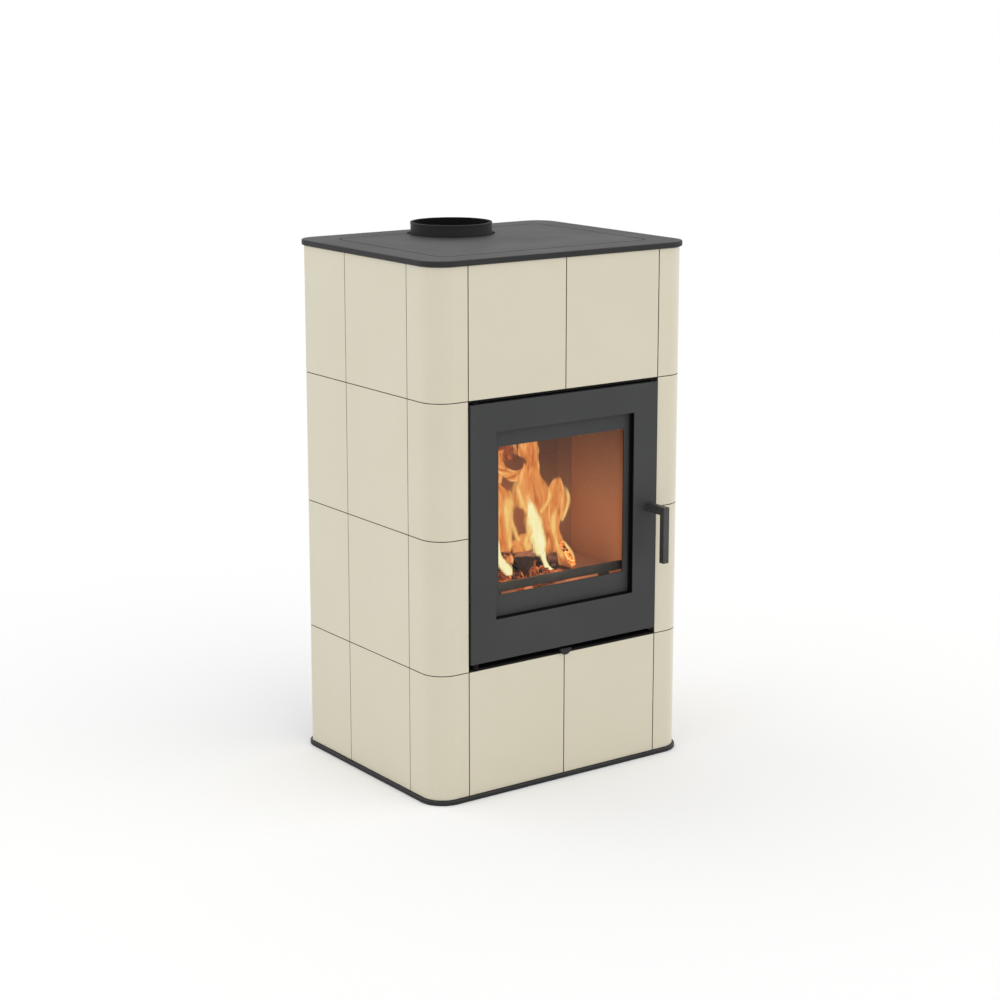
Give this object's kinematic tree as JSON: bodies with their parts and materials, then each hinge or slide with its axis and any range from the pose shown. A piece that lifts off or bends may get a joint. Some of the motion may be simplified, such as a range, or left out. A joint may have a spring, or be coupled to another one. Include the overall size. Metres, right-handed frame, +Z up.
{
  "type": "tiled wood stove",
  "caption": "Upright free-standing wood stove: a steel firebox behind glazed tiles, with cast base and top plates, a hinged glass door, a lever latch, an air slider and a top flue collar.",
  "frame": {"origin": "on the floor, under the centre of the bounding box of the whole stove, with its handle and plates", "axes": "+Z up, -Y to the front where the door is, +X to the right as seen from the front"},
  "size_m": [0.557, 0.4954, 0.965],
  "materials": {
    "glaze": "plain cream gloss glaze",
    "cast_iron": "fine-grained cast iron with grey heat-proof paint",
    "stove_paint": "matt heat-proof paint",
    "door_paint": "matt heat-proof paint on cast iron",
    "firebrick": "rough firebrick",
    "steel": "bare turned steel",
    "galvanised": "zinc-coated sheet",
    "glass": "clear ceramic glass",
    "rope": "braided glass rope"
  },
  "bodies": {
    "stove": {"tile_left_front_1": "glaze", "tile_left_rear_1": "glaze", "corner_tile_left_1": "glaze", "tile_left_front_2": "glaze", "tile_left_rear_2": "glaze", "corner_tile_left_2": "glaze", "tile_left_front_3": "glaze", "tile_left_rear_3": "glaze", "corner_tile_left_3": "glaze", "tile_left_front_4": "glaze", "tile_left_rear_4": "glaze", "corner_tile_left_4": "glaze", "front_tile_bottom_left": "glaze", "front_tile_top_left": "glaze", "tile_rail_left": "galvanised", "lining_left": "firebrick", "tile_right_front_1": "glaze", "tile_right_rear_1": "glaze", "corner_tile_right_1": "glaze", "tile_right_front_2": "glaze", "tile_right_rear_2": "glaze", "corner_tile_right_2": "glaze", "tile_right_front_3": "glaze", "tile_right_rear_3": "glaze", "corner_tile_right_3": "glaze", "tile_right_front_4": "glaze", "tile_right_rear_4": "glaze", "corner_tile_right_4": "glaze", "front_tile_bottom_right": "glaze", "front_tile_top_right": "glaze", "tile_rail_right": "galvanised", "lining_right": "firebrick", "base_plate": "cast_iron", "top_plate": "cast_iron", "flue_collar": "cast_iron", "grate": "cast_iron", "log_guard": "cast_iron", "stove_body": "stove_paint", "stove_roof": "stove_paint", "front_plate": "stove_paint", "lintel_angle": "stove_paint", "sill_angle": "stove_paint", "air_inlet_spigot": "stove_paint", "lining_rear_lower": "firebrick", "lining_rear_upper": "firebrick", "hearth_slab": "firebrick", "baffle_plate": "firebrick", "rear_panel": "galvanised", "ash_pan": "galvanised", "latch_keeper": "steel", "hinge_pin_upper": "stove_paint", "hinge_pin_lower": "stove_paint"},
    "door": {"door_leaf": "door_paint", "inner_frame": "door_paint", "door_glass": "glass", "glass_retainer": "stove_paint", "door_seal": "rope"},
    "handle": {"handle_lever": "door_paint", "latch_spindle": "steel"},
    "air_control": {"air_slider": "stove_paint"}
  },
  "joints": [
    {"name": "door_swing", "type": "hinge", "parent": "stove", "child": "door", "pos_m": [-0.191, -0.19275, 0.47135], "axis": [0, 0, -1], "range_deg": [0, 110]},
    {"name": "handle_turn", "type": "hinge", "parent": "door", "child": "handle", "pos_m": [0.187, -0.19875, 0.47135], "axis": [0, -1, 0], "range_deg": [-20, 90]},
    {"name": "air_slide", "type": "slide", "parent": "stove", "child": "air_control", "axis": [1, 0, 0], "range_m": [-0.04, 0.04]}
  ]
}
